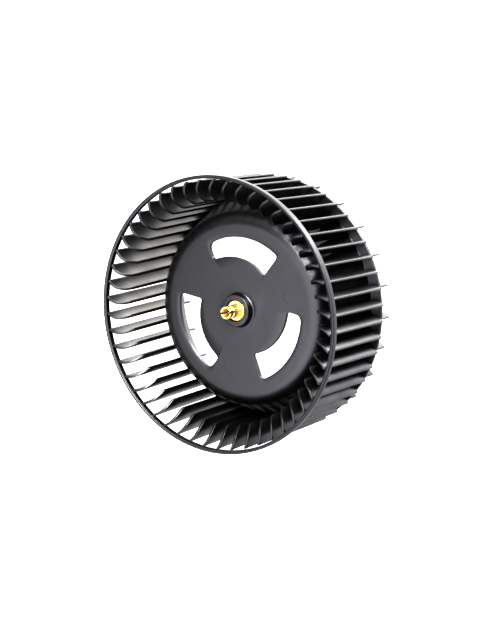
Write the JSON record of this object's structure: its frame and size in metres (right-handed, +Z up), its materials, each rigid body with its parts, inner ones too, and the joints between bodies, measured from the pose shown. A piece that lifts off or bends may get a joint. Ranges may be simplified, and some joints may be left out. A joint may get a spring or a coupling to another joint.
{
  "type": "blower wheel",
  "caption": "Black plastic forward-curved centrifugal blower wheel: a thin inlet ring, curved blades, a domed hub plate with kidney slots, and a split brass shaft bushing.",
  "frame": {"origin": "centre of the wheel's own box, on its axis of rotation", "axes": "+Y along the axis of rotation, from the open inlet towards the motor; +Z up and +X to the right when looking into the inlet along +Y"},
  "size_m": [0.152, 0.0662, 0.152],
  "materials": {
    "black_plastic": "satin",
    "blade_plastic": "satin",
    "brass": "machined"
  },
  "bodies": {
    "root": {"blade_01": "blade_plastic", "blade_02": "blade_plastic", "blade_03": "blade_plastic", "blade_04": "blade_plastic", "blade_05": "blade_plastic", "blade_06": "blade_plastic", "blade_07": "blade_plastic", "blade_08": "blade_plastic", "blade_09": "blade_plastic", "blade_10": "blade_plastic", "blade_11": "blade_plastic", "blade_12": "blade_plastic", "blade_13": "blade_plastic", "blade_14": "blade_plastic", "blade_15": "blade_plastic", "blade_16": "blade_plastic", "blade_17": "blade_plastic", "blade_18": "blade_plastic", "blade_19": "blade_plastic", "blade_20": "blade_plastic", "blade_21": "blade_plastic", "blade_22": "blade_plastic", "blade_23": "blade_plastic", "blade_24": "blade_plastic", "blade_25": "blade_plastic", "blade_26": "blade_plastic", "blade_27": "blade_plastic", "blade_28": "blade_plastic", "blade_29": "blade_plastic", "blade_30": "blade_plastic", "blade_31": "blade_plastic", "blade_32": "blade_plastic", "blade_33": "blade_plastic", "blade_34": "blade_plastic", "blade_35": "blade_plastic", "blade_36": "blade_plastic", "blade_37": "blade_plastic", "blade_38": "blade_plastic", "blade_39": "blade_plastic", "blade_40": "blade_plastic", "blade_41": "blade_plastic", "blade_42": "blade_plastic", "blade_43": "blade_plastic", "blade_44": "blade_plastic", "blade_45": "blade_plastic", "blade_46": "blade_plastic", "blade_47": "blade_plastic", "blade_48": "blade_plastic", "blade_49": "blade_plastic", "blade_50": "blade_plastic", "front_ring": "black_plastic", "hub_plate": "black_plastic", "shaft_bushing": "brass"}
  },
  "joints": []
}
